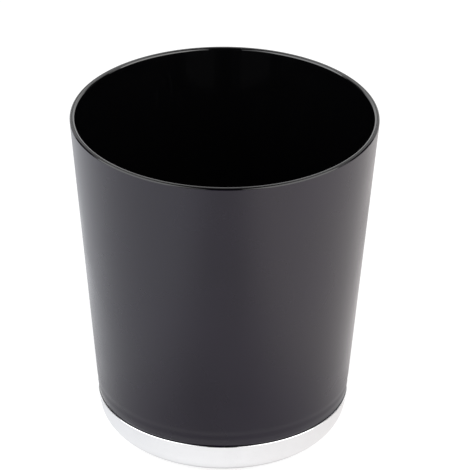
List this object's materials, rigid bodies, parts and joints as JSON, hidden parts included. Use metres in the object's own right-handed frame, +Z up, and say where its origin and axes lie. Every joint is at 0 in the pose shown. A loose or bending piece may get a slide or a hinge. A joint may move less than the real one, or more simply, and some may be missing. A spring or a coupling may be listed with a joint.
{
  "type": "cutlery holder",
  "caption": "Tapered round tabletop cutlery holder: satin charcoal sleeve, gloss black inner cup and a polished chrome base on a rubber foot ring.",
  "frame": {"origin": "on the table, at the centre of the foot ring's underside", "axes": "+Z up along the cup's axis; the cup is round, and +X runs through one of the base screws"},
  "size_m": [0.1238, 0.1238, 0.14],
  "materials": {
    "sleeve_charcoal": "satin charcoal, fine moulded texture",
    "liner_black": "polished black",
    "base_chrome": "polished",
    "screw_steel": "zinc-plated",
    "foot_rubber": "matt"
  },
  "bodies": {
    "root": {"outer_sleeve": "sleeve_charcoal", "inner_liner": "liner_black", "base_dish": "base_chrome", "base_screws": "screw_steel", "foot_ring": "foot_rubber"}
  },
  "joints": []
}
